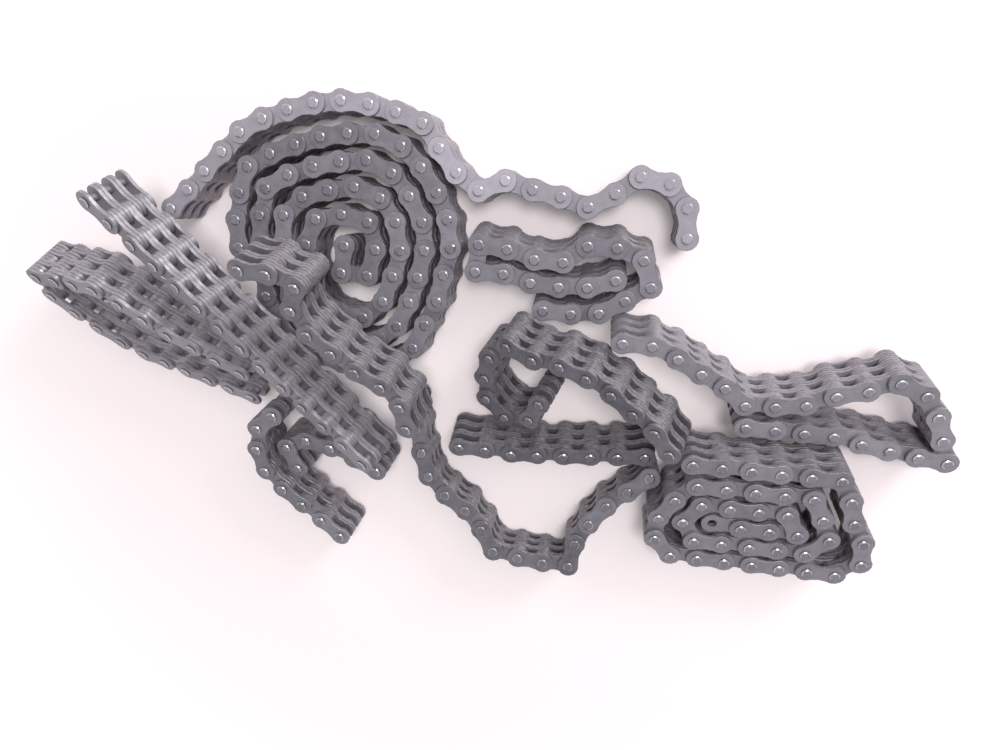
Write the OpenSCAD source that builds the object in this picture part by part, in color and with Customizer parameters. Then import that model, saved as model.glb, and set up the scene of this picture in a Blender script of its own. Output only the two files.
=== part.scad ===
// Heap of leaf chain: lengths of interlaced plates on riveted pins, coiled, folded and laid over one another.
// Millimetres, +Z up, floor at z = 0, origin below the middle of the heap.

/* [Plates] */
// Distance between the two pin centres of a link
pitch = 15.875; // [15.6:0.025:16.2]
// Depth of a plate across its round ends
plate_height = 12.8; // [11.8:0.1:13]
// Depth of a plate at its waist
waist_height = 9.2; // [8:0.1:10]
// Thickness of one plate
plate_thickness = 2.2; // [2:0.02:2.24]

/* [Pins] */
// Diameter of the pin shank
pin_diameter = 5.1; // [4:0.05:5.6]
// Diameter of the riveted head
head_diameter = 6.2; // [5.8:0.05:7]
// Height of the riveted head over the outermost plate
head_height = 1.2; // [0.8:0.05:1.3]

/* [Clearances] */
// Gap between the sides of neighbouring plates
side_gap = 0.12; // [0.06:0.01:0.14]
// Gap between a pin and the wall of a plate hole
pin_gap = 0.1; // [0.08:0.01:0.14]
// Gap under a riveted head
head_gap = 0.05; // [0.02:0.01:0.1]
// Height at which a leaning length is held clear of what it lies on
rest_gap = 0.3; // [0.1:0.05:0.6]
// Gap between neighbouring rows of the pack
row_gap = 0.6; // [0.3:0.05:1]
// Gap between neighbouring turns of the coil
turn_gap = 1; // [0.8:0.1:1.4]

/* [Hidden] */
$fn = 48;
plate_colour = "#67656a";
pin_colour = "#7d7b81";

// Rows of plates across the width, counted from the back; outer and inner links interlace in pairs
row_count = 12;
outer_rows = [0, 3, 4, 7, 8, 11];
inner_rows = [1, 2, 5, 6, 9, 10];
row_step = plate_thickness + side_gap;
stack_width = row_count * row_step - side_gap;
chain_width = stack_width + 2 * head_height;

// Outline of a plate: two round ends and a web that is hollowed by an arc on each edge
end_radius = plate_height / 2;
hole_radius = pin_diameter / 2 + pin_gap;
web_height = 0.875 * plate_height;
waist_radius = 0.85 * pitch;
waist_centre = waist_height / 2 + waist_radius;

// Riveted head: a straight collar under a shallow cone
head_radius = head_diameter / 2;
collar_height = 0.5 * head_height;
crown_radius = 0.7 * head_radius;

// Bend that brings the end of one row of the pack to the next row
row_turn = asin((plate_height + row_gap) / pitch);
turn_spacing = plate_height + turn_gap;

// Distance of a point from the line between the two pins of a link
function link_distance(point, from, to) =
    let (along = max(0, min(1, (point - from) * (to - from) / (pitch * pitch))))
    norm(point - from - along * (to - from));

// Place of the pin that follows the last one at a heading
function next_pin(pins, heading) = pins[len(pins) - 1] + pitch * [cos(heading), sin(heading)];

// Smallest bend, in steps of two degrees, that keeps the next link clear of all but the last three links
function inward_bend(pins, heading, bend = 0) =
    let (pin = next_pin(pins, heading - bend),
         nearest = min([for (i = [0:len(pins) - 5]) link_distance(pin, pins[i], pins[i + 1])]))
    nearest >= turn_spacing || bend > 90 ? bend : inward_bend(pins, heading, bend + 2);

// Runs of a chain that winds inwards against its own outer turn until no room is left
function wound_runs(pins, heading) =
    let (bend = inward_bend(pins, heading))
    bend > 90 ? [] :
    concat([[1, -bend]], wound_runs(concat(pins, [next_pin(pins, heading - bend)]), heading - bend));

// A length of chain is [place of its first pin in pitches, height of its lowest point, lean of its pins,
// direction of the lean, heading, runs]; a run is [number of links, bend before each of them]
outer_turn = [[-8.95, 3.6], 0, 0, 0, 92,
    [[1, 0], [1, -16], [1, -10], [1, -40], [1, -8], [1, -4], [2, -8], [2, -22], [1, -12],
     [1, -10], [1, -16], [1, -22], [1, 0], [1, -12], [1, 0], [1, -28], [1, -24], [1, -14],
     [1, -12], [1, -14], [2, -20], [1, -14], [1, -8]]];
arc = [[-11.5, 5.0], 0, 0, 0, 42,
    [[4, 0], [1, -16], [1, -10], [1, -4], [1, -8], [1, -12], [1, -8], [1, -6], [1, -34],
     [1, 2], [1, 16], [1, 58], [1, -38], [1, 4], [1, -6], [1, 46], [1, 8], [1, -48], [1, -38], [1, -35]]];
fold = [[4.95, 3.0], rest_gap, 12, 270, 196,
    [[1, 0], [1, -16], [1, -8], [1, -10], [1, 14], [1, -96], [1, -89], [1, -12], [1, 16],
     [1, 40], [1, -38], [1, -22], [1, -48], [1, -76], [1, -2], [1, -26], [1, -10]]];
pack = [[8.8, -5.75], rest_gap, 15, 270, -4,
    [[3, 0], [1, 180 - row_turn],
     [1, row_turn], [2, 0], [1, row_turn], [1, 180 - 2 * row_turn],
     [1, row_turn], [3, 0], [1, row_turn - 8], [1, 181 - 2 * row_turn], [1, 5],
     [1, row_turn + 2], [3, 0], [1, row_turn - 10], [1, 15], [1, 85 - row_turn], [1, 100 - row_turn],
     [1, row_turn - 10], [5, 0], [1, row_turn - 16], [1, 174 - 2 * row_turn], [1, 22], [1, -12], [1, 12],
     [1, row_turn], [4, 0]]];
zigzag = [[-2.55, -2.2], 0, 0, 0, -80,
    [[2, 0], [1, 5], [1, 26], [1, 12], [1, -15], [1, -10], [1, 50], [2, 4], [1, 80], [1, -16],
     [2, -10], [1, -2]]];
strip = [[-6.85, 3.85], chain_width + rest_gap, 25, 250, -5,
    [[1, 0], [1, -20], [1, -90], [1, 45], [1, 26], [1, 0], [1, 12], [1, -24], [1, -30]]];
loop = [[2.9, -1.08], rest_gap, 30, 235, -119,
    [[1, 0], [1, -55], [1, -55], [1, -45], [1, -15], [1, -30], [1, -65], [1, 20], [1, -15],
     [2, -12], [1, 2], [1, -18]]];
low_run = [[-0.7, -3.25], rest_gap, 20, 270, -4,
    [[1, 0], [1, -4], [1, 8], [4, 1]]];
bight = [[5.25, 1.1], rest_gap, 16, 270, -4,
    [[1, 0], [1, -24], [1, -6], [1, 2], [1, -10], [1, 42], [1, 6], [1, 18], [1, -10], [1, 6],
     [1, -46], [1, -30], [1, -12], [1, 0], [1, -122], [3, -2], [1, 12], [2, 0]]];
top_run = [[-12.3, 6.05], 0.9 * chain_width, 35, 230, -48,
    [[13, 0]]];
hairpin = [[-7.5, -2.2], rest_gap, 14, 250, 219,
    [[1, 0], [1, 38], [1, 22], [1, 27], [1, 10], [2, 0]]];
nest = [[-7.15, -4.7], rest_gap, 14, 250, 108,
    [[1, 0], [1, -84], [1, -38], [1, -10], [1, -4]]];
doubled = [[-8.3, -1.05], rest_gap, 40, 245, 166,
    [[5, 0], [1, -15], [3, -8], [1, -43], [1, -84], [1, 0], [1, -4], [1, -28], [1, -8],
     [1, 0], [1, 12], [2, 0]]];

// Fields of a length of chain
function place(length) = pitch * length[0];
function rest(length) = length[1];
function lean(length) = length[2];
function lean_direction(length) = length[3];

// Running totals of a list of numbers or points
function totals(values, sum, i = 0) =
    i == len(values) ? [] :
    concat([sum + values[i]], totals(values, sum + values[i], i + 1));

// Heading of every link, then the pin centres in the plane that the length lies in
function headings(length) = totals([for (run = length[5]) for (i = [1:run[0]]) run[1]], length[4]);
function pin_centres(length) =
    concat([[0, 0]], totals([for (angle = headings(length)) pitch * [cos(angle), sin(angle)]], [0, 0]));
function last_link(length) = len(headings(length)) - 1;

// Least distance of the last two pins of a length from its other links
function end_room(length) =
    let (pins = pin_centres(length),
         last = len(pins) - 1)
    min([for (k = [last - 1, last]) for (i = [0:k - 3]) link_distance(pins[k], pins[i], pins[i + 1])]);

// Coil: its outer turn, turns wound inwards that end on an outer link, and two links curled into the
// middle where it has room for them
inner_turns = wound_runs(pin_centres(outer_turn), headings(outer_turn)[last_link(outer_turn)]);
wound_end = 2 * floor((len(inner_turns) - 1) / 2);
all_turns = concat(outer_turn[5], [for (i = [0:wound_end]) inner_turns[i]]);
open_coil = [outer_turn[0], 0, 0, 0, 92, all_turns];
curled_coil = [outer_turn[0], 0, 0, 0, 92, concat(all_turns, [[1, -75], [1, -95]])];
coil = end_room(curled_coil) > turn_spacing ? curled_coil : open_coil;

// Height of the first pin that brings the lowest point of the leaning length to its resting height
function lift(length) =
    let (slope = sin(lean(length)),
         downhill = [cos(lean_direction(length)), sin(lean_direction(length))],
         pin_drop = max([for (centre = pin_centres(length)) slope * (centre * downhill)]),
         plate_drop = slope * end_radius - cos(lean(length)) * head_height,
         head_drop = slope * head_radius)
    rest(length) + pin_drop + max(plate_drop, head_drop);

// Places what is drawn in the plane of a length
module lay(length) {
    translate([place(length)[0], place(length)[1], lift(length)])
        rotate([0, 0, lean_direction(length)])
            rotate([0, lean(length), 0])
                rotate([0, 0, -lean_direction(length)])
                    children();
}

module plate_outline() {
    difference() {
        union() {
            circle(r = end_radius);
            translate([pitch, 0])
                circle(r = end_radius);
            difference() {
                translate([0, -web_height / 2])
                    square([pitch, web_height]);
                for (edge = [-1, 1])
                    translate([pitch / 2, edge * waist_centre])
                        circle(r = waist_radius);
            }
        }
        for (x = [0, pitch])
            translate([x, 0])
                circle(r = hole_radius);
    }
}

// Plates of one link, seen along the link from its first pin
module link_plates(rows) {
    for (row = rows)
        translate([0, 0, head_height + row * row_step])
            linear_extrude(plate_thickness)
                plate_outline();
}

// Pin with a riveted head at both ends
module pin() {
    shank_radius = pin_diameter / 2;
    rotate_extrude()
        polygon([
            [0, 0],
            [crown_radius, 0],
            [head_radius, head_height - collar_height - head_gap],
            [head_radius, head_height - head_gap],
            [shank_radius, head_height - head_gap],
            [shank_radius, chain_width - head_height + head_gap],
            [head_radius, chain_width - head_height + head_gap],
            [head_radius, chain_width - head_height + collar_height + head_gap],
            [crown_radius, chain_width],
            [0, chain_width]
        ]);
}

// Every second link of a length, from link first to link last
module links(length, rows, first, last) {
    centres = pin_centres(length);
    angles = headings(length);
    color(plate_colour)
        lay(length)
            for (i = [first:2:last])
                translate([centres[i][0], centres[i][1], 0])
                    rotate([0, 0, angles[i]])
                        link_plates(rows);
}

// Pins of a length, from pin first to pin last
module pins(length, first, last) {
    centres = pin_centres(length);
    color(pin_colour)
        lay(length)
            for (i = [first:last])
                translate([centres[i][0], centres[i][1], 0])
                    pin();
}

// First link of the free tail of the arc and of the free tip of the hairpin
tail_start = last_link(arc) - 7;
tip_start = last_link(hairpin) - 2;

// Links of the free tail, counted in pairs of an inner and an outer link
module tail_inner_plates(pair) {
    i = tail_start + 2 * pair - 2;
    links(arc, inner_rows, i, i);
}

module tail_outer_plates(pair) {
    i = tail_start + 2 * pair - 1;
    links(arc, outer_rows, i, i);
}

module tail_pins(pair) {
    i = tail_start + 2 * pair - 1;
    pins(arc, i, i + 1);
}

// Coil, with its outer end link free to swing
module coil_outer_plates() links(coil, outer_rows, 2, last_link(coil));
module coil_inner_plates() links(coil, inner_rows, 1, last_link(coil));
module coil_pins() pins(coil, 2, last_link(coil) + 1);
module coil_end_plates() links(coil, outer_rows, 0, 0);
module coil_end_pins() pins(coil, 0, 1);

// Arc round the coil, as far as the links of its free tail
module arc_outer_plates() links(arc, outer_rows, 0, tail_start - 1);
module arc_inner_plates() links(arc, inner_rows, 1, tail_start - 1);
module arc_pins() pins(arc, 0, tail_start);

// Free tail of the arc, link by link; every outer link carries its two pins
module tail_inner_plates_1() tail_inner_plates(1);
module tail_outer_plates_1() tail_outer_plates(1);
module tail_pins_1() tail_pins(1);
module tail_inner_plates_2() tail_inner_plates(2);
module tail_outer_plates_2() tail_outer_plates(2);
module tail_pins_2() tail_pins(2);
module tail_inner_plates_3() tail_inner_plates(3);
module tail_outer_plates_3() tail_outer_plates(3);
module tail_pins_3() tail_pins(3);
module tail_inner_plates_4() tail_inner_plates(4);
module tail_outer_plates_4() tail_outer_plates(4);
module tail_pins_4() tail_pins(4);

// Folded length
module fold_outer_plates() links(fold, outer_rows, 0, last_link(fold));
module fold_inner_plates() links(fold, inner_rows, 1, last_link(fold));
module fold_pins() pins(fold, 0, last_link(fold) + 1);

// Pack of nested rows; its inner end is an inner link with an open bore
module pack_outer_plates() links(pack, outer_rows, 1, last_link(pack));
module pack_inner_plates() links(pack, inner_rows, 0, last_link(pack));
module pack_pins() pins(pack, 1, last_link(pack) + 1);

// Zigzag
module zigzag_outer_plates() links(zigzag, outer_rows, 0, last_link(zigzag));
module zigzag_inner_plates() links(zigzag, inner_rows, 1, last_link(zigzag));
module zigzag_pins() pins(zigzag, 0, last_link(zigzag) + 1);

// Strip that crosses the top of the coil
module strip_outer_plates() links(strip, outer_rows, 0, last_link(strip));
module strip_inner_plates() links(strip, inner_rows, 1, last_link(strip));
module strip_pins() pins(strip, 0, last_link(strip) + 1);

// Loop and the run out of it
module loop_outer_plates() links(loop, outer_rows, 0, last_link(loop));
module loop_inner_plates() links(loop, inner_rows, 1, last_link(loop));
module loop_pins() pins(loop, 0, last_link(loop) + 1);

// Low run between the zigzag and the loop
module low_run_outer_plates() links(low_run, outer_rows, 0, last_link(low_run));
module low_run_inner_plates() links(low_run, inner_rows, 1, last_link(low_run));
module low_run_pins() pins(low_run, 0, last_link(low_run) + 1);

// Bight at the side of the pack
module bight_outer_plates() links(bight, outer_rows, 0, last_link(bight));
module bight_inner_plates() links(bight, inner_rows, 1, last_link(bight));
module bight_pins() pins(bight, 0, last_link(bight) + 1);

// Straight run that crosses the coil
module top_run_outer_plates() links(top_run, outer_rows, 0, last_link(top_run));
module top_run_inner_plates() links(top_run, inner_rows, 1, last_link(top_run));
module top_run_pins() pins(top_run, 0, last_link(top_run) + 1);

// Hairpin, as far as the links of its free tip, and the short length nested in it
module hairpin_outer_plates() {
    links(hairpin, outer_rows, 0, tip_start - 1);
    links(nest, outer_rows, 0, last_link(nest));
}

module hairpin_inner_plates() {
    links(hairpin, inner_rows, 1, tip_start - 1);
    links(nest, inner_rows, 1, last_link(nest));
}

module hairpin_pins() {
    pins(hairpin, 0, tip_start - 1);
    pins(nest, 0, last_link(nest) + 1);
}

// Free tip of the hairpin: an outer link, an inner link and the outer end link
module tip_outer_plates() links(hairpin, outer_rows, tip_start, tip_start);
module tip_outer_pins() pins(hairpin, tip_start, tip_start + 1);
module tip_inner_plates() links(hairpin, inner_rows, tip_start + 1, tip_start + 1);
module tip_end_plates() links(hairpin, outer_rows, tip_start + 2, tip_start + 2);
module tip_end_pins() pins(hairpin, tip_start + 2, tip_start + 3);

// Doubled length beside the top run
module doubled_outer_plates() links(doubled, outer_rows, 0, last_link(doubled));
module doubled_inner_plates() links(doubled, inner_rows, 1, last_link(doubled));
module doubled_pins() pins(doubled, 0, last_link(doubled) + 1);

coil_outer_plates();
coil_inner_plates();
coil_pins();
coil_end_plates();
coil_end_pins();
arc_outer_plates();
arc_inner_plates();
arc_pins();
tail_inner_plates_1();
tail_outer_plates_1();
tail_pins_1();
tail_inner_plates_2();
tail_outer_plates_2();
tail_pins_2();
tail_inner_plates_3();
tail_outer_plates_3();
tail_pins_3();
tail_inner_plates_4();
tail_outer_plates_4();
tail_pins_4();
fold_outer_plates();
fold_inner_plates();
fold_pins();
pack_outer_plates();
pack_inner_plates();
pack_pins();
zigzag_outer_plates();
zigzag_inner_plates();
zigzag_pins();
strip_outer_plates();
strip_inner_plates();
strip_pins();
loop_outer_plates();
loop_inner_plates();
loop_pins();
low_run_outer_plates();
low_run_inner_plates();
low_run_pins();
bight_outer_plates();
bight_inner_plates();
bight_pins();
top_run_outer_plates();
top_run_inner_plates();
top_run_pins();
hairpin_outer_plates();
hairpin_inner_plates();
hairpin_pins();
tip_outer_plates();
tip_outer_pins();
tip_inner_plates();
tip_end_plates();
tip_end_pins();
doubled_outer_plates();
doubled_inner_plates();
doubled_pins();
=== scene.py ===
"""Heap of dark leaf chain on a pale floor: thirteen lengths of interlaced plates on riveted pins."""

import cmath
import math

import bmesh
import bpy
from mathutils import Matrix, Vector


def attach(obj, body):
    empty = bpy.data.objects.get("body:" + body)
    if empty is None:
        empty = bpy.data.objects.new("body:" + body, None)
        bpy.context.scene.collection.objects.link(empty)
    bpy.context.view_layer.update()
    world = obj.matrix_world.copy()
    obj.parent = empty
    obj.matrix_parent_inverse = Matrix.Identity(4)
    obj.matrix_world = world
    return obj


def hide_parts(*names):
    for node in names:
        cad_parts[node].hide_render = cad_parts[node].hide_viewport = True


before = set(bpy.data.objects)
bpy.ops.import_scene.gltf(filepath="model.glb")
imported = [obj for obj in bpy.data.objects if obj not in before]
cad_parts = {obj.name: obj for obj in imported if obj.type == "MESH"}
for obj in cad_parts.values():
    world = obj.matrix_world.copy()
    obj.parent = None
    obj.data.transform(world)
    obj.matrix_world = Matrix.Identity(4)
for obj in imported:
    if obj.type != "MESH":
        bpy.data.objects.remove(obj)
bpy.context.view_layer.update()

# Sizes of the chain, in metres, as in the part's source
MM = 0.001
PITCH = 15.875 * MM
PLATE_HEIGHT = 12.8 * MM
WAIST_HEIGHT = 9.2 * MM
PLATE_THICKNESS = 2.2 * MM
PIN_DIAMETER = 5.1 * MM
HEAD_DIAMETER = 6.2 * MM
HEAD_HEIGHT = 1.2 * MM
SIDE_GAP = 0.12 * MM
PIN_GAP = 0.1 * MM
HEAD_GAP = 0.05 * MM
REST_GAP = 0.3 * MM
ROW_GAP = 0.6 * MM
TURN_GAP = 1.0 * MM

ROWS = 12
ROW_STEP = PLATE_THICKNESS + SIDE_GAP
CHAIN_WIDTH = ROWS * ROW_STEP - SIDE_GAP + 2 * HEAD_HEIGHT
END_RADIUS = PLATE_HEIGHT / 2
HOLE_RADIUS = PIN_DIAMETER / 2 + PIN_GAP
HEAD_RADIUS = HEAD_DIAMETER / 2
WAIST_RADIUS = 0.85 * PITCH
WAIST_CENTRE = WAIST_HEIGHT / 2 + WAIST_RADIUS
ROW_TURN = math.degrees(math.asin((PLATE_HEIGHT + ROW_GAP) / PITCH))
TURN_SPACING = PLATE_HEIGHT + TURN_GAP

# Small breaks that catch the light: the plate's stamped edge and the rim of a riveted head
PLATE_BREAK = 0.2 * MM
CROWN_RADIUS = 0.78 * HEAD_RADIUS
COLLAR_HEIGHT = 0.5 * HEAD_HEIGHT

# Corners of the meshes, and the angle past which an edge between two faces stays sharp
END_STEPS = 10
WAIST_STEPS = 2
EYE_STEPS = 16
PIN_STEPS = 12
PLATE_CREASE = math.radians(38)
PIN_CREASE = math.radians(33)

# Marks of the edge attribute: broken edges and rims, the cut sides of plates, the collars of pins
LIP = 1.0
SIDE = 0.5
FACE = 0.0
COLLAR = -1.0

# Bends tried where a length winds inwards, in degrees
BEND_STEP = 2
SHARPEST_BEND = 90

# Links at the free end of the arc and of the hairpin
TAIL_LINKS = 8
TIP_LINKS = 3

FLOOR_REACH = 4.0
FLOOR_LEVEL = -0.1 * MM
HEAP_MIDDLE = Vector((0, 0, 0.03))


def link_distance(point, start, end):
    """Distance of a point from the line between the two pins of a link."""
    along = ((point - start) * (end - start).conjugate()).real / PITCH ** 2
    return abs(point - start - max(0, min(1, along)) * (end - start))


class Length:
    """A length of chain in one leaning plane: where each pin stands and which way each link points.

    A run is (number of links, bend before each of them in degrees). The place of the first pin is in
    pitches; rest is the height of the lowest point, lean the tilt of the pins towards a direction.
    Places in the plane are complex numbers. A length with a curl winds on inside its own outer turn,
    and the runs of the curl end it in the middle.
    """

    def __init__(self, place, heading, runs, rest=0.0, lean=0, toward=0, curl=None):
        self.headings = []
        self.pins = [0j]
        self.heading = heading
        self.add_runs(runs)
        if curl:
            self.wind_inwards()
            self.add_runs(curl)
        self.last = len(self.headings) - 1
        self.lay = self.resting_place(place, rest, math.radians(lean), math.radians(toward))

    def next_pin(self, bend):
        return self.pins[-1] + cmath.rect(PITCH, math.radians(self.heading + bend))

    def add_link(self, bend):
        self.pins.append(self.next_pin(bend))
        self.heading += bend
        self.headings.append(math.radians(self.heading))

    def add_runs(self, runs):
        for count, bend in runs:
            for _ in range(count):
                self.add_link(bend)

    def clear_of_turns(self, pin):
        """Whether a pin there keeps its distance from all but the last three links."""
        links = zip(self.pins[:-4], self.pins[1:-3])
        return min(link_distance(pin, *link) for link in links) >= TURN_SPACING

    def wind_inwards(self):
        """Adds links with the smallest bend that clears the turns outside, and ends on an outer link."""
        bend = self.inward_bend()
        while bend is not None:
            self.add_link(bend)
            bend = self.inward_bend()
        if len(self.headings) % 2 == 0:
            self.pins.pop()
            self.headings.pop()
            self.heading = math.degrees(self.headings[-1])

    def inward_bend(self):
        """The smallest bend that leads clear of the turns outside, or None."""
        bends = range(0, SHARPEST_BEND + BEND_STEP, BEND_STEP)
        return next((-bend for bend in bends if self.clear_of_turns(self.next_pin(-bend))), None)

    def resting_place(self, place, rest, lean, toward):
        """Turns the plane over and lifts it until its lowest point is at its resting height."""
        pin_drop = max(math.sin(lean) * (pin * cmath.rect(1, -toward)).real for pin in self.pins)
        plate_drop = math.sin(lean) * END_RADIUS - math.cos(lean) * HEAD_HEIGHT
        head_drop = math.sin(lean) * HEAD_RADIUS
        lift = rest + pin_drop + max(plate_drop, head_drop)
        tilt = (Matrix.Rotation(toward, 4, "Z") @ Matrix.Rotation(lean, 4, "Y")
                @ Matrix.Rotation(-toward, 4, "Z"))
        return Matrix.Translation((PITCH * place[0], PITCH * place[1], lift)) @ tilt

    def pin_place(self, i):
        pin = self.pins[i]
        return self.lay @ Matrix.Translation((pin.real, pin.imag, 0))

    def link_place(self, i):
        return self.pin_place(i) @ Matrix.Rotation(self.headings[i], 4, "Z")


LENGTHS = {
    "coil": Length((-8.95, 3.6), 92, [
        (1, 0), (1, -16), (1, -10), (1, -40), (1, -8), (1, -4), (2, -8), (2, -22), (1, -12), (1, -10),
        (1, -16), (1, -22), (1, 0), (1, -12), (1, 0), (1, -28), (1, -24), (1, -14), (1, -12), (1, -14),
        (2, -20), (1, -14), (1, -8)], curl=[(1, -75), (1, -95)]),
    "arc": Length((-11.5, 5.0), 42, [
        (4, 0), (1, -16), (1, -10), (1, -4), (1, -8), (1, -12), (1, -8), (1, -6), (1, -34), (1, 2),
        (1, 16), (1, 58), (1, -38), (1, 4), (1, -6), (1, 46), (1, 8), (1, -48), (1, -38), (1, -35)]),
    "fold": Length((4.95, 3.0), 196, [
        (1, 0), (1, -16), (1, -8), (1, -10), (1, 14), (1, -96), (1, -89), (1, -12), (1, 16), (1, 40),
        (1, -38), (1, -22), (1, -48), (1, -76), (1, -2), (1, -26), (1, -10)],
        rest=REST_GAP, lean=12, toward=270),
    "pack": Length((8.8, -5.75), -4, [
        (3, 0), (1, 180 - ROW_TURN),
        (1, ROW_TURN), (2, 0), (1, ROW_TURN), (1, 180 - 2 * ROW_TURN),
        (1, ROW_TURN), (3, 0), (1, ROW_TURN - 8), (1, 181 - 2 * ROW_TURN), (1, 5),
        (1, ROW_TURN + 2), (3, 0), (1, ROW_TURN - 10), (1, 15), (1, 85 - ROW_TURN), (1, 100 - ROW_TURN),
        (1, ROW_TURN - 10), (5, 0), (1, ROW_TURN - 16), (1, 174 - 2 * ROW_TURN), (1, 22), (1, -12),
        (1, 12), (1, ROW_TURN), (4, 0)],
        rest=REST_GAP, lean=15, toward=270),
    "zigzag": Length((-2.55, -2.2), -80, [
        (2, 0), (1, 5), (1, 26), (1, 12), (1, -15), (1, -10), (1, 50), (2, 4), (1, 80), (1, -16),
        (2, -10), (1, -2)]),
    "strip": Length((-6.85, 3.85), -5, [
        (1, 0), (1, -20), (1, -90), (1, 45), (1, 26), (1, 0), (1, 12), (1, -24), (1, -30)],
        rest=CHAIN_WIDTH + REST_GAP, lean=25, toward=250),
    "loop": Length((2.9, -1.08), -119, [
        (1, 0), (1, -55), (1, -55), (1, -45), (1, -15), (1, -30), (1, -65), (1, 20), (1, -15),
        (2, -12), (1, 2), (1, -18)],
        rest=REST_GAP, lean=30, toward=235),
    "low_run": Length((-0.7, -3.25), -4, [(1, 0), (1, -4), (1, 8), (4, 1)],
        rest=REST_GAP, lean=20, toward=270),
    "bight": Length((5.25, 1.1), -4, [
        (1, 0), (1, -24), (1, -6), (1, 2), (1, -10), (1, 42), (1, 6), (1, 18), (1, -10), (1, 6),
        (1, -46), (1, -30), (1, -12), (1, 0), (1, -122), (3, -2), (1, 12), (2, 0)],
        rest=REST_GAP, lean=16, toward=270),
    "top_run": Length((-12.3, 6.05), -48, [(13, 0)],
        rest=0.9 * CHAIN_WIDTH, lean=35, toward=230),
    "hairpin": Length((-7.5, -2.2), 219, [(1, 0), (1, 38), (1, 22), (1, 27), (1, 10), (2, 0)],
        rest=REST_GAP, lean=14, toward=250),
    "nest": Length((-7.15, -4.7), 108, [(1, 0), (1, -84), (1, -38), (1, -10), (1, -4)],
        rest=REST_GAP, lean=14, toward=250),
    "doubled": Length((-8.3, -1.05), 166, [
        (5, 0), (1, -15), (3, -8), (1, -43), (1, -84), (1, 0), (1, -4), (1, -28), (1, -8), (1, 0),
        (1, 12), (2, 0)],
        rest=REST_GAP, lean=40, toward=245),
}

# Steel of each length, by the first word of its nodes: brightness of its darkest and of its lightest
# plate, and how far the sides of its plates are polished. The brightness is partly the length's own wear
# and partly painted light, raised where a length lies turned from the lamps.
WEAR_AND_PAINTED_LIGHT = {
    "coil": (0.2, 0.4, 0.4),
    "arc": (0.68, 0.9, 0.5),
    "tail": (0.38, 0.58, 0.5),
    "fold": (0.35, 0.6, 0.5),
    "pack": (0.32, 0.52, 0.4),
    "zigzag": (0.12, 0.3, 0.5),
    "strip": (0.24, 0.4, 0.1),
    "loop": (0.1, 0.28, 0.2),
    "low": (0.1, 0.28, 0.2),
    "bight": (0.45, 0.68, 0.3),
    "top": (0.42, 0.65, 1.0),
    "hairpin": (0.28, 0.46, 0.5),
    "tip": (0.28, 0.46, 0.5),
    "doubled": (0.48, 0.72, 1.0),
}

# Colours of the steel, the floor and the surround, linear
BLACK = (0, 0, 0, 1)
WHITE = (1, 1, 1, 1)
DARK_PLATE = (0.077, 0.071, 0.088, 1)
LIGHT_PLATE = (0.38, 0.356, 0.41, 1)
# Burnished cut sides, also painted lighter where the sides catch light and to lift the shade between turns
SIDE_BURNISH_AND_PAINTED_LIGHT = (0.46, 0.435, 0.445, 1)
BRIGHT_SPECK = (0.6, 0.57, 0.6, 1)
# Rubbed edges of polished plates, also a painted highlight
RUBBED_LIP_AND_PAINTED_HIGHLIGHT = (0.6, 0.57, 0.59, 1)
# Painted shade: darkens the broken edges where shade falls in the grooves between plates
PAINTED_GROOVE_SHADE = (0.035, 0.033, 0.038, 1)
DARK_PIN = (0.077, 0.071, 0.087, 1)
LIGHT_PIN = (0.38, 0.356, 0.405, 1)
# Rubbed rims of the pin heads, also a painted highlight ring
RUBBED_RIM_AND_PAINTED_HIGHLIGHT = (0.85, 0.82, 0.84, 1)
# Painted shade: the dark outline round each head, where shade falls by the collar
PAINTED_COLLAR_SHADE = (0.03, 0.028, 0.032, 1)
FLOOR_TINT = (0.96, 0.855, 0.87, 1)
SURROUND_TINT = (1, 0.99, 1, 1)


class Wire:
    """Output socket of a node; arithmetic on wires adds Math nodes to their tree."""

    def __init__(self, bench, socket):
        self.bench = bench
        self.socket = socket

    def maths(self, operation, *values):
        sockets = dict(enumerate(values))
        return self.bench.node("ShaderNodeMath", {"operation": operation}, sockets)["Value"]

    def __add__(self, other):
        return self.maths("ADD", self, other)

    def __sub__(self, other):
        return self.maths("SUBTRACT", self, other)

    def __rsub__(self, other):
        return self.maths("SUBTRACT", other, self)

    def __mul__(self, other):
        return self.maths("MULTIPLY", self, other)

    def __truediv__(self, other):
        return self.maths("DIVIDE", self, other)

    def __mod__(self, other):
        return self.maths("MODULO", self, other)

    def __floordiv__(self, other):
        return self.maths("FLOOR", self / other)

    __radd__ = __add__
    __rmul__ = __mul__


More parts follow.
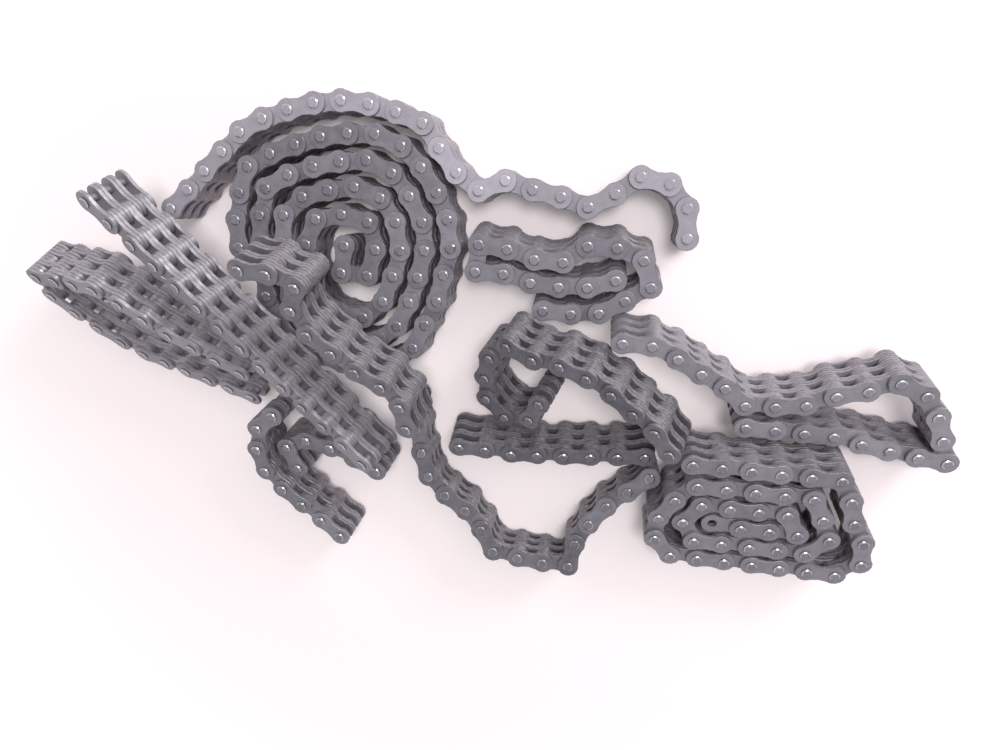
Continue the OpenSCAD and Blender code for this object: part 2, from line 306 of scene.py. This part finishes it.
class Bench:
    """A node tree in the making."""

    def __init__(self, tree):
        self.tree = tree

    def node(self, kind, settings=None, sockets=None):
        """Adds a node, sets it up, fills or links its sockets, and gives its outputs by name."""
        made = self.tree.nodes.new(kind)
        for name, value in (settings or {}).items():
            setattr(made, name, value)
        shown = [socket for socket in made.inputs if socket.enabled]
        for key, value in (sockets or {}).items():
            socket = shown[key] if isinstance(key, int) else next(s for s in shown if s.name == key)
            if isinstance(value, Wire):
                self.tree.links.new(value.socket, socket)
            else:
                socket.default_value = value
        return {socket.name: Wire(self, socket) for socket in made.outputs if socket.enabled}

    def place(self):
        """Where a point lies on the object."""
        return self.node("ShaderNodeTexCoord")["Object"]

    def attribute(self, name):
        """Value of a named attribute of the mesh."""
        return self.node("ShaderNodeAttribute", {"attribute_name": name})["Fac"]

    def surface(self, sockets):
        """Ends a material in one surface shader."""
        shader = self.node("ShaderNodeBsdfPrincipled", None, sockets)["BSDF"]
        self.node("ShaderNodeOutputMaterial", None, {"Surface": shader})

    def blend(self, factor, first, second):
        """Mixes two colours."""
        return self.node("ShaderNodeMix", {"data_type": "RGBA", "clamp_factor": True},
                         {"Factor": factor, "A": first, "B": second})["Result"]

    def ramp(self, value, low, high):
        """Carries low..high over to 0..1, smoothly and held at both ends."""
        return self.node("ShaderNodeMapRange", {"interpolation_type": "SMOOTHSTEP"},
                         {"Value": value, "From Min": low, "From Max": high})["Result"]

    def noise(self, place, size, detail=2.0, roughness=0.5):
        """Noise whose blotches are about size metres across."""
        return self.node("ShaderNodeTexNoise", None, {
            "Vector": place, "Scale": 1 / size, "Detail": detail, "Roughness": roughness})["Fac"]


def circle(radius, steps):
    """Points round the first pin, anticlockwise."""
    turns = [2 * math.pi * i / steps for i in range(steps)]
    return [(radius * math.cos(turn), radius * math.sin(turn)) for turn in turns]


def plate_ring(inset):
    """Outline of a plate, anticlockwise from its first eye, moved inwards by inset."""
    end = END_RADIUS - inset
    waist = WAIST_RADIUS + inset
    reach = math.hypot(PITCH / 2, WAIST_CENTRE)
    leave = (math.atan2(WAIST_CENTRE, PITCH / 2)
             - math.acos((reach ** 2 + end ** 2 - waist ** 2) / (2 * reach * end)))
    sweep = 2 * (math.pi - leave) / END_STEPS
    first_eye = [(end * math.cos(leave + i * sweep), end * math.sin(leave + i * sweep))
                 for i in range(END_STEPS + 1)]
    half_span = PITCH / 2 - first_eye[0][0]
    web = []
    for i in range(1, WAIST_STEPS):
        x = half_span * (2 * i / WAIST_STEPS - 1)
        web.append((PITCH / 2 + x, math.sqrt(waist ** 2 - x ** 2) - WAIST_CENTRE))
    half = first_eye + web
    return half + [(PITCH - x, -y) for x, y in half]


def eye_ring(inset):
    """Edge of an open pin hole round the first pin, widened by inset."""
    return circle(HOLE_RADIUS + inset, EYE_STEPS)


def stacked_walls(form, edge, rings, marks):
    """Walls from each ring of points up to the next, with a mark for each wall; gives both end loops."""
    loops = [[form.verts.new((x, y, z)) for x, y in ring] for ring, z in rings]
    for low, high, mark in zip(loops, loops[1:], marks):
        for i in range(len(low)):
            j = (i + 1) % len(low)
            form.faces.new((low[i], low[j], high[j], high[i]))[edge] = mark
    return loops[0], loops[-1]


def plate_walls(form, edge, ring):
    """A broken edge, the straight side and another broken edge."""
    rings = [
        (ring(PLATE_BREAK), 0),
        (ring(0), PLATE_BREAK),
        (ring(0), PLATE_THICKNESS - PLATE_BREAK),
        (ring(PLATE_BREAK), PLATE_THICKNESS),
    ]
    return stacked_walls(form, edge, rings, [LIP, SIDE, LIP])


def plate_form(name, open_eye=False):
    """One stamped plate; its pins fill its eyes, unless its first eye is open."""
    form = bmesh.new()
    edge = form.faces.layers.float.new("edge")
    bottom, top = plate_walls(form, edge, plate_ring)
    if open_eye:
        eye_bottom, eye_top = plate_walls(form, edge, eye_ring)
        for rims in ((bottom, eye_bottom), (top, eye_top)):
            edges = [form.edges.get((rim[i - 1], rim[i])) for rim in rims for i in range(len(rim))]
            bmesh.ops.triangle_fill(form, edges=edges, use_beauty=True)
    else:
        form.faces.new(reversed(bottom))
        form.faces.new(top)
    return finished_form(form, name, PLATE_CREASE)


def pin_form(name):
    """One pin with a riveted head at both ends."""
    form = bmesh.new()
    edge = form.faces.layers.float.new("edge")
    under_back = HEAD_HEIGHT - HEAD_GAP
    under_front = CHAIN_WIDTH - under_back
    # Radius and height of each ring, and the mark of the wall from there to the next
    profile = [
        (CROWN_RADIUS, 0, LIP),
        (HEAD_RADIUS, under_back - COLLAR_HEIGHT, COLLAR),
        (HEAD_RADIUS, under_back, FACE),
        (PIN_DIAMETER / 2, under_back, FACE),
        (PIN_DIAMETER / 2, under_front, FACE),
        (HEAD_RADIUS, under_front, COLLAR),
        (HEAD_RADIUS, under_front + COLLAR_HEIGHT, LIP),
        (CROWN_RADIUS, CHAIN_WIDTH, FACE),
    ]
    rings = [(circle(radius, PIN_STEPS), z) for radius, z, _ in profile]
    bottom, top = stacked_walls(form, edge, rings, [mark for _, _, mark in profile])
    form.faces.new(reversed(bottom))
    form.faces.new(top)
    return finished_form(form, name, PIN_CREASE)


def finished_form(form, name, crease):
    """Puts a form on an object of its own, its faces outwards and smooth up to the crease angle."""
    bmesh.ops.recalc_face_normals(form, faces=form.faces)
    mesh = bpy.data.meshes.new(name)
    form.to_mesh(mesh)
    form.free()
    mesh.shade_smooth()
    mesh.set_sharp_from_angle(angle=crease)
    made = bpy.data.objects.new(name, mesh)
    bpy.context.scene.collection.objects.link(made)
    return made


def chain_tree():
    """Stacks the form in rows across the chain and sets a stack on every link or pin of a length."""
    tree = bpy.data.node_groups.new("chain_stacks", "GeometryNodeTree")
    inputs = [
        ("Places", "NodeSocketGeometry"), ("Form", "NodeSocketObject"), ("Rows", "NodeSocketInt"),
        ("Row step", "NodeSocketFloat"), ("First row", "NodeSocketFloat"), ("Inner rows", "NodeSocketInt"),
        ("Darkest", "NodeSocketFloat"), ("Lightest", "NodeSocketFloat"), ("Polish", "NodeSocketFloat"),
        ("Seed", "NodeSocketInt"), ("Steel", "NodeSocketMaterial"),
    ]
    for name, kind in inputs:
        tree.interface.new_socket(name, in_out="INPUT", socket_type=kind)
    tree.interface.new_socket("Chain", in_out="OUTPUT", socket_type="NodeSocketGeometry")
    bench = Bench(tree)
    given = bench.node("NodeGroupInput")

    start = bench.node("ShaderNodeCombineXYZ", None, {"Z": given["First row"]})["Vector"]
    step = bench.node("ShaderNodeCombineXYZ", None, {"Z": given["Row step"]})["Vector"]
    rows = bench.node("GeometryNodeMeshLine", {"mode": "OFFSET", "count_mode": "TOTAL"}, {
        "Count": given["Rows"], "Start Location": start, "Offset": step})["Mesh"]
    # Outer and inner plates interlace in pairs: outer, inner, inner, outer, outer, inner and so on
    row = bench.node("GeometryNodeInputIndex")["Index"]
    row_kind = ((row + 1) % 4) // 2
    wanted = bench.node("FunctionNodeCompare", {"data_type": "INT", "operation": "EQUAL"}, {
        "A": row_kind, "B": given["Inner rows"]})["Result"]
    form = bench.node("GeometryNodeObjectInfo", {"transform_space": "ORIGINAL"}, {
        "Object": given["Form"]})["Geometry"]
    stack = bench.node("GeometryNodeInstanceOnPoints", None, {
        "Points": rows, "Selection": wanted, "Instance": form})["Instances"]

    turn = bench.node("GeometryNodeInputNamedAttribute", {"data_type": "FLOAT_VECTOR"}, {
        "Name": "turn"})["Attribute"]
    rotation = bench.node("FunctionNodeEulerToRotation", None, {"Euler": turn})["Rotation"]
    chain = bench.node("GeometryNodeInstanceOnPoints", None, {
        "Points": given["Places"], "Instance": stack, "Rotation": rotation})["Instances"]
    solid = bench.node("GeometryNodeRealizeInstances", None, {"Geometry": chain})["Geometry"]

    island = bench.node("GeometryNodeInputMeshIsland")["Island Index"]
    tone = bench.node("FunctionNodeRandomValue", {"data_type": "FLOAT"}, {
        "Min": given["Darkest"], "Max": given["Lightest"], "ID": island, "Seed": given["Seed"]})["Value"]
    toned = bench.node("GeometryNodeStoreNamedAttribute", {"data_type": "FLOAT", "domain": "FACE"}, {
        "Geometry": solid, "Name": "tone", "Value": tone})["Geometry"]
    polish = bench.node("FunctionNodeRandomValue", {"data_type": "FLOAT"}, {
        "Max": given["Polish"], "ID": island, "Seed": given["Seed"] + 1})["Value"]
    polished = bench.node("GeometryNodeStoreNamedAttribute", {"data_type": "FLOAT", "domain": "FACE"}, {
        "Geometry": toned, "Name": "polish", "Value": polish})["Geometry"]
    dressed = bench.node("GeometryNodeSetMaterial", None, {
        "Geometry": polished, "Material": given["Steel"]})["Geometry"]
    bench.node("NodeGroupOutput", None, {"Chain": dressed})
    return tree


def background_rays(bench):
    """1 for rays that show the plain background: from the camera, or on from metal or glass."""
    path = bench.node("ShaderNodeLightPath")
    return path["Is Camera Ray"] + path["Is Glossy Ray"] + path["Is Transmission Ray"]


def new_material(name):
    material = bpy.data.materials.new(name)
    material.use_nodes = True
    material.node_tree.nodes.clear()
    return material, Bench(material.node_tree)


def steel_grain(bench, place):
    """Fine tooth of the peened steel, as a normal."""
    tooth = bench.noise(place, 0.35 * MM, detail=3.0, roughness=0.6)
    dents = bench.noise(place, 1.6 * MM, detail=1.0)
    return bench.node("ShaderNodeBump", None, {
        "Strength": 0.18, "Distance": 0.1 * MM, "Height": 0.6 * tooth + 0.4 * dents})["Normal"]


def plate_steel():
    """Dark oiled steel of the plates: mottled faces whose tone is partly painted light, cut sides
    burnished on some plates and painted lighter, painted shade in the grooves of others, painted
    highlights on rubbed edges.
    """
    material, bench = new_material("plate_steel")
    place = bench.place()
    tone = bench.attribute("tone")
    polish = bench.attribute("polish")
    edge = bench.attribute("edge")
    side = bench.ramp(edge, FACE, SIDE)
    lip = bench.ramp(edge, SIDE, LIP)
    blotch = bench.noise(place, 6 * MM, detail=4.0, roughness=0.6)
    rub = bench.ramp(bench.noise(place, 2.2 * MM, detail=3.0), 0.38, 0.62)
    specks = bench.ramp(bench.noise(place, 0.5 * MM, detail=1.0), 0.66, 0.74)

    # Tone differs at random from plate to plate; its range for each length is partly painted light
    lightness = tone + 0.5 * (blotch - 0.5)
    colour = bench.blend(lightness, DARK_PLATE, LIGHT_PLATE)
    colour = bench.blend(0.6 * tone * specks, colour, BRIGHT_SPECK)
    # Cut sides burnished in patches and painted lighter as lit
    colour = bench.blend(side * (0.15 + 0.25 * rub), colour, SIDE_BURNISH_AND_PAINTED_LIGHT)
    # Painted shade in the grooves between plates, less on polished plates
    colour = bench.blend(lip * (0.7 - polish), colour, PAINTED_GROOVE_SHADE)
    # Rubbed edges on polished plates with a painted highlight
    colour = bench.blend(0.5 * lip * polish * rub, colour, RUBBED_LIP_AND_PAINTED_HIGHLIGHT)
    roughness = 0.52 + 0.15 * (blotch - 0.5) - side * polish * (0.1 + 0.2 * rub)
    metallic = 0.35 + 0.3 * side * polish
    bench.surface({
        "Base Color": colour, "Metallic": metallic, "Roughness": roughness,
        "Normal": steel_grain(bench, place)})
    return material


def pin_steel():
    """Steel of the pins: mottled crowns, rubbed rims painted with a bright highlight ring, painted shade
    round the collars.
    """
    material, bench = new_material("pin_steel")
    place = bench.place()
    tone = bench.attribute("tone")
    edge = bench.attribute("edge")
    rim = bench.ramp(edge, FACE, LIP)
    collar = bench.ramp(edge, FACE, COLLAR)
    mottle = bench.noise(place, 1.1 * MM, detail=3.0, roughness=0.6)
    rub = bench.ramp(bench.noise(place, 2.5 * MM, detail=2.0), 0.4, 0.65)

    # Tone differs at random from pin to pin; its range for each length is partly painted light
    lightness = tone + 0.6 * (mottle - 0.5)
    colour = bench.blend(lightness, DARK_PIN, LIGHT_PIN)
    # Rubbed rim with a painted highlight ring, brighter on lighter pins
    colour = bench.blend(rim * (0.05 + 0.35 * tone + 0.15 * rub), colour, RUBBED_RIM_AND_PAINTED_HIGHLIGHT)
    # Painted shade round the collars
    colour = bench.blend(0.75 * collar, colour, PAINTED_COLLAR_SHADE)
    roughness = 0.5 + 0.2 * (mottle - 0.5) - 0.25 * rim
    metallic = 0.35 + 0.5 * rim
    bench.surface({
        "Base Color": colour, "Metallic": metallic, "Roughness": roughness,
        "Normal": steel_grain(bench, place)})
    return material


def floor_paper():
    """Pale floor with a faint pink tint, a little whiter as background and white far from the heap."""
    material, bench = new_material("floor_paper")
    distance = bench.node("ShaderNodeVectorMath", {"operation": "LENGTH"}, {0: bench.place()})["Value"]
    far = bench.ramp(distance, 0.22, 1.0)
    lift = bench.blend(background_rays(bench) * (0.1 + 0.9 * far), BLACK, WHITE)
    bench.surface({
        "Base Color": FLOOR_TINT, "Roughness": 0.9, "Specular IOR Level": 0.1,
        "Emission Color": lift, "Emission Strength": 1.0})
    return material


def set_inputs(modifier, values):
    """Sets the named inputs of a node modifier by their identifiers."""
    for item in modifier.node_group.interface.items_tree:
        if item.in_out == "INPUT" and item.name in values:
            modifier[item.identifier] = values[item.name]


def chain_piece(name, places, values):
    """Sets the form of one kind out on its places and turns the result into a plain mesh."""
    points = bpy.data.meshes.new(name)
    points.from_pydata([place.translation for place in places], [], [])
    turns = points.attributes.new("turn", "FLOAT_VECTOR", "POINT")
    for point, place in zip(turns.data, places):
        point.vector = place.to_euler()
    piece = bpy.data.objects.new(name, points)
    bpy.context.scene.collection.objects.link(piece)
    modifier = piece.modifiers.new("stacks", "NODES")
    modifier.node_group = stacks
    set_inputs(modifier, values)
    evaluated = piece.evaluated_get(bpy.context.evaluated_depsgraph_get())
    piece.data = bpy.data.meshes.new_from_object(evaluated)
    piece.data.name = name
    piece.modifiers.clear()
    bpy.data.meshes.remove(points)
    return piece


def add_piece(name, node, body, places, values):
    """One piece of the chain in place of a CAD node, with the tone and polish of the rest of its length.
    """
    darkest, lightest, polish = WEAR_AND_PAINTED_LIGHT[node.split("_")[0]]
    wear = {"Darkest": darkest, "Lightest": lightest, "Polish": polish}
    piece = chain_piece(name or node + "_steel", places, {"Row step": ROW_STEP, **wear, **values})
    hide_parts(node)
    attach(piece, body)


def add_plates(node, body, length, first, last, inner, form=None, name=None):
    """Every second link of a length from link first to link last."""
    places = [LENGTHS[length].link_place(i) for i in range(first, last + 1, 2)]
    add_piece(name, node, body, places, {
        "Form": form or plate, "Rows": ROWS, "First row": HEAD_HEIGHT, "Inner rows": int(inner),
        "Seed": 10 * first + int(inner), "Steel": plate_finish})


def add_pins(node, body, length, first, last, name=None):
    """The pins of a length from pin first to pin last."""
    places = [LENGTHS[length].pin_place(i) for i in range(first, last + 1)]
    add_piece(name, node, body, places, {
        "Form": pin, "Rows": 1, "First row": 0.0, "Inner rows": 0, "Seed": first, "Steel": pin_finish})


def soft_lamp(name, place, power, size):
    """Square studio lamp aimed at the middle of the heap."""
    lamp = bpy.data.lights.new(name, "AREA")
    lamp.energy = power
    lamp.size = size
    holder = bpy.data.objects.new(name, lamp)
    holder.location = place
    holder.rotation_euler = (HEAP_MIDDLE - holder.location).to_track_quat("-Z", "Y").to_euler()
    bpy.context.scene.collection.objects.link(holder)


plate = plate_form("plate")
open_plate = plate_form("open_plate", open_eye=True)
pin = pin_form("pin")
stacks = chain_tree()
plate_finish = plate_steel()
pin_finish = pin_steel()

# Lengths that lie still, from end to end
for name in ("fold", "zigzag", "strip", "loop", "low_run", "bight", "top_run", "doubled"):
    last = LENGTHS[name].last
    add_plates(name + "_outer_plates", "heap", name, 0, last, inner=False)
    add_plates(name + "_inner_plates", "heap", name, 1, last, inner=True)
    add_pins(name + "_pins", "heap", name, 0, last + 1)

# Pack, whose first link is an inner link with an open eye
last = LENGTHS["pack"].last
add_plates("pack_outer_plates", "heap", "pack", 1, last, inner=False)
add_plates("pack_inner_plates", "heap", "pack", 2, last, inner=True)
add_plates("pack_inner_plates", "heap", "pack", 0, 0, inner=True, form=open_plate,
           name="pack_open_link_steel")
add_pins("pack_pins", "heap", "pack", 1, last + 1)

# Coil and its free end link
last = LENGTHS["coil"].last
add_plates("coil_outer_plates", "heap", "coil", 2, last, inner=False)
add_plates("coil_inner_plates", "heap", "coil", 1, last, inner=True)
add_pins("coil_pins", "heap", "coil", 2, last + 1)
add_plates("coil_end_plates", "coil_end_link", "coil", 0, 0, inner=False)
add_pins("coil_end_pins", "coil_end_link", "coil", 0, 1)

# Arc and its free tail, whose outer links carry the pins
tail = LENGTHS["arc"].last + 1 - TAIL_LINKS
add_plates("arc_outer_plates", "heap", "arc", 0, tail - 1, inner=False)
add_plates("arc_inner_plates", "heap", "arc", 1, tail - 1, inner=True)
add_pins("arc_pins", "heap", "arc", 0, tail)
for pair in range(1, TAIL_LINKS // 2 + 1):
    inner_body = f"tail_link_{2 * pair - 1}"
    outer_body = f"tail_link_{2 * pair}"
    link = tail + 2 * pair - 2
    add_plates(f"tail_inner_plates_{pair}", inner_body, "arc", link, link, inner=True)
    add_plates(f"tail_outer_plates_{pair}", outer_body, "arc", link + 1, link + 1, inner=False)
    add_pins(f"tail_pins_{pair}", outer_body, "arc", link + 1, link + 2)

# Hairpin and the links of its free tip
tip = LENGTHS["hairpin"].last + 1 - TIP_LINKS
add_plates("hairpin_outer_plates", "heap", "hairpin", 0, tip - 1, inner=False)
add_plates("hairpin_inner_plates", "heap", "hairpin", 1, tip - 1, inner=True)
add_pins("hairpin_pins", "heap", "hairpin", 0, tip - 1)
add_plates("tip_outer_plates", "tip_link_1", "hairpin", tip, tip, inner=False)
add_pins("tip_outer_pins", "tip_link_1", "hairpin", tip, tip + 1)
add_plates("tip_inner_plates", "tip_link_2", "hairpin", tip + 1, tip + 1, inner=True)
add_plates("tip_end_plates", "tip_link_3", "hairpin", tip + 2, tip + 2, inner=False)
add_pins("tip_end_pins", "tip_link_3", "hairpin", tip + 2, tip + 3)

# Short length nested in the hairpin
last = LENGTHS["nest"].last
add_plates("hairpin_outer_plates", "heap", "nest", 0, last, inner=False, name="nest_outer_plates_steel")
add_plates("hairpin_inner_plates", "heap", "nest", 1, last, inner=True, name="nest_inner_plates_steel")
add_pins("hairpin_pins", "heap", "nest", 0, last + 1, name="nest_pins_steel")

for form in (plate, open_plate, pin):
    bpy.data.objects.remove(form)

# Floor just under the lowest pin heads
floor_mesh = bpy.data.meshes.new("floor")
signs = ((-1, -1), (1, -1), (1, 1), (-1, 1))
corners = [(x * FLOOR_REACH, y * FLOOR_REACH, FLOOR_LEVEL) for x, y in signs]
floor_mesh.from_pydata(corners, [], [(0, 1, 2, 3)])
floor_mesh.materials.append(floor_paper())
floor = bpy.data.objects.new("floor", floor_mesh)
bpy.context.scene.collection.objects.link(floor)

# Light from above and from a window beyond the upper right
soft_lamp("overhead_lamp", Vector((0.4, 0.45, 2.1)), 22, 0.6)
soft_lamp("key_lamp", Vector((1.1, 1.2, 2.0)), 10, 1.4)
soft_lamp("window_lamp", Vector((1.8, 1.9, 1.15)), 30, 0.8)

# Even surround, white where it is seen
world = bpy.data.worlds.new("studio")
world.use_nodes = True
world.node_tree.nodes.clear()
sky = Bench(world.node_tree)
dim = sky.node("ShaderNodeBackground", None, {"Color": SURROUND_TINT, "Strength": 0.4})["Background"]
white = sky.node("ShaderNodeBackground", None, {"Color": WHITE, "Strength": 1.0})["Background"]
shown = sky.node("ShaderNodeMixShader", None, {0: background_rays(sky), 1: dim, 2: white})["Shader"]
sky.node("ShaderNodeOutputWorld", None, {"Surface": shown})
bpy.context.scene.world = world

# Camera over the right side of the heap, looking down
lens = bpy.data.cameras.new("camera")
lens.sensor_width = 36
lens.lens = 25.2
camera = bpy.data.objects.new("camera", lens)
camera.location = (0.0712, 0.0872, 0.422)
camera.rotation_euler = (math.radians(-14.42), math.radians(8.27), 0)
bpy.context.scene.collection.objects.link(camera)
bpy.context.scene.camera = camera
bpy.context.scene.view_settings.view_transform = "Standard"
